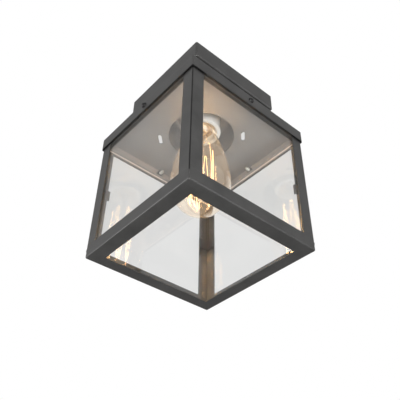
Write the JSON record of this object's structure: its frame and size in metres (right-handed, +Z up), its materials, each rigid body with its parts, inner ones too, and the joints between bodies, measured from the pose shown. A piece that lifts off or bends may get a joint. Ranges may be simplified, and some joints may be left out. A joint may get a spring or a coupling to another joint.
{
  "type": "porch ceiling lantern",
  "caption": "Square black ceiling lantern: canopy, round neck, wide cap and glazed open-bottom cage round one clear bulb.",
  "frame": {"origin": "middle of the ceiling plane, at the centre of the crossbar's two box screw slots, level with the canopy's rim", "axes": "+Z up into the ceiling, +X right, -Y front; the picture looks from the front right and from below"},
  "size_m": [0.1676, 0.1676, 0.228],
  "materials": {
    "black_powder_coat": "fine satin powder coat, charcoal black",
    "blackened_screws": "black oxide, slightly glossy",
    "satin_grey_steel": "satin grey",
    "clear_pane": "clear, flat, polished",
    "zinc_plate": "bright zinc plate",
    "green_earth_screw": "green passivated",
    "white_porcelain": "glazed white",
    "brass": "rolled, lightly tarnished",
    "solder": "dull solder",
    "black_vitrite": "black glass insulator",
    "bulb_glass": "clear, faint amber",
    "glowing_filament": "glowing wire",
    "support_wire": "fine drawn wire"
  },
  "bodies": {
    "lantern": {"canopy": "black_powder_coat", "crossbar": "zinc_plate", "canopy_studs": "zinc_plate", "acorn_nuts": "blackened_screws", "ground_screw": "green_earth_screw", "nipple": "zinc_plate", "lock_washer": "zinc_plate", "nipple_nut": "brass", "neck_cup": "satin_grey_steel", "roof_cap": "black_powder_coat", "reflector_plate": "satin_grey_steel", "socket_body": "white_porcelain", "socket_bush": "brass", "socket_shell": "brass", "socket_contact": "brass", "post_back_right": "black_powder_coat", "post_back_left": "black_powder_coat", "post_front_left": "black_powder_coat", "post_front_right": "black_powder_coat", "bottom_rail_right": "black_powder_coat", "bottom_rail_back": "black_powder_coat", "bottom_rail_left": "black_powder_coat", "bottom_rail_front": "black_powder_coat", "top_rail_right": "black_powder_coat", "top_rail_back": "black_powder_coat", "top_rail_left": "black_powder_coat", "top_rail_front": "black_powder_coat", "glass_right": "clear_pane", "glass_back": "clear_pane", "glass_left": "clear_pane", "glass_front": "clear_pane", "glass_clips": "black_powder_coat", "weld_nuts": "black_powder_coat"},
    "bulb_travel": {"bulb_contact": "solder"},
    "bulb": {"bulb_insulator": "black_vitrite", "bulb_cap": "brass", "bulb_glass": "bulb_glass", "bulb_stem": "bulb_glass", "filament": "glowing_filament", "filament_supports": "support_wire"},
    "screw_right": {"side_screw_right": "blackened_screws"},
    "screw_back": {"side_screw_back": "blackened_screws"},
    "screw_left": {"side_screw_left": "blackened_screws"},
    "screw_front": {"side_screw_front": "blackened_screws"}
  },
  "joints": [
    {"name": "bulb_unscrews", "type": "slide", "parent": "lantern", "child": "bulb_travel", "axis": [0, 0, -1], "range_m": [0, 0.02178]},
    {"name": "bulb_turns", "type": "hinge", "parent": "bulb_travel", "child": "bulb", "pos_m": [0, 0, -0.1], "axis": [0, 0, -1], "range_deg": [0, 2161]},
    {"name": "screw_right_backs_out", "type": "slide", "parent": "lantern", "child": "screw_right", "axis": [1, 0, 0], "range_m": [0, 0.0085]},
    {"name": "screw_back_backs_out", "type": "slide", "parent": "lantern", "child": "screw_back", "axis": [0, 1, 0], "range_m": [0, 0.0085]},
    {"name": "screw_left_backs_out", "type": "slide", "parent": "lantern", "child": "screw_left", "axis": [-1, 0, 0], "range_m": [0, 0.0085]},
    {"name": "screw_front_backs_out", "type": "slide", "parent": "lantern", "child": "screw_front", "axis": [0, -1, 0], "range_m": [0, 0.0085]}
  ],
  "couplings": [
    {"joint": "bulb_turns", "follows": "bulb_unscrews", "rad_per_m": 1730.9}
  ]
}
